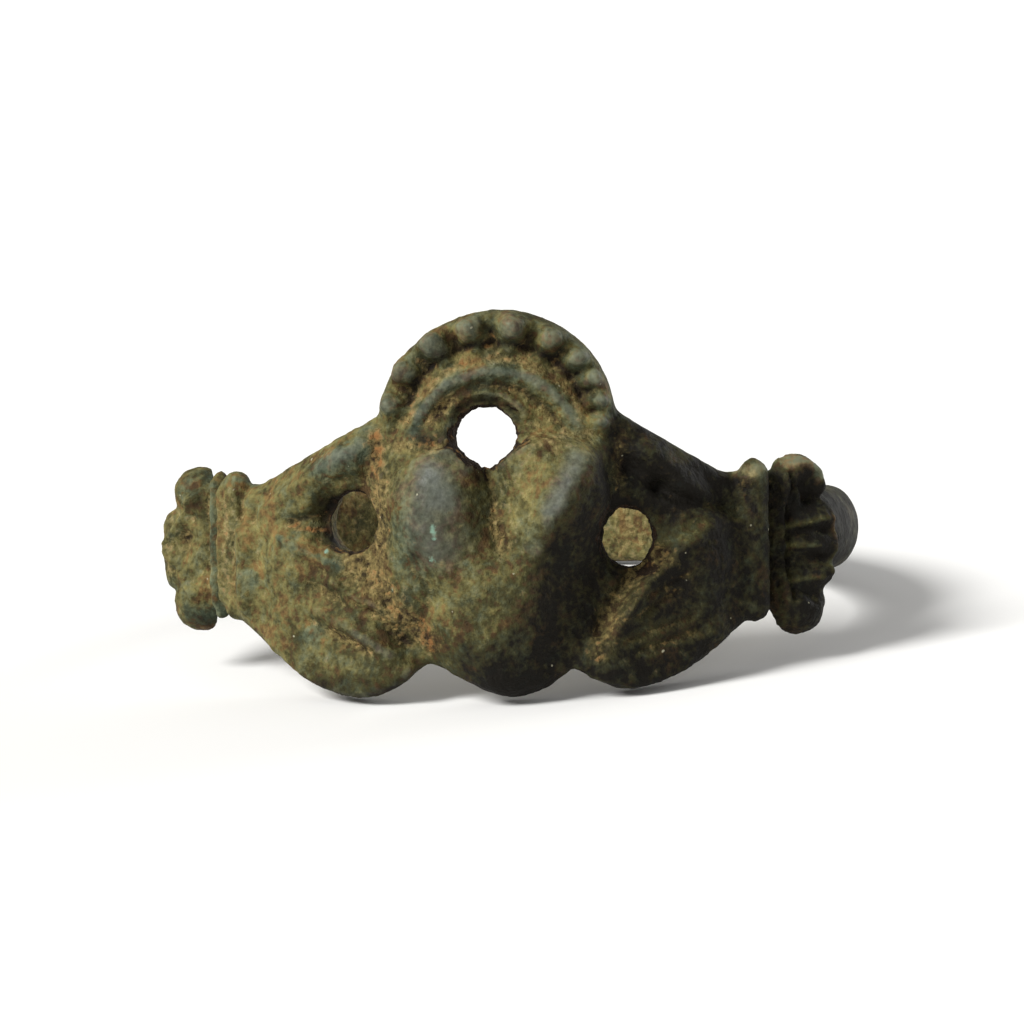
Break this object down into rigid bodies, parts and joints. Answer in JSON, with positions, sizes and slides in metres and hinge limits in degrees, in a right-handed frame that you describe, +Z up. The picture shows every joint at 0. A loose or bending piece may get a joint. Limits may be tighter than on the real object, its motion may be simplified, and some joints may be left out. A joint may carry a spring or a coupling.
{
  "type": "claddagh ring",
  "caption": "Cast metal finger ring with a pierced claddagh bezel: cuffed hands hold a crowned heart, closed by a plain round hoop.",
  "frame": {"origin": "centre of the bounding box's base, on the surface that the ring rests on", "axes": "+Z is up from the resting surface; -Y is the way the heart faces; +X is to the right of someone who looks at the heart"},
  "size_m": [0.0216, 0.022, 0.0118],
  "materials": {
    "corroded_copper_alloy": "cast copper alloy with a dark olive-brown patina, worn grey on the high points, ochre soil in the hollows"
  },
  "bodies": {
    "root": {"cast_ring": "corroded_copper_alloy"}
  },
  "joints": []
}
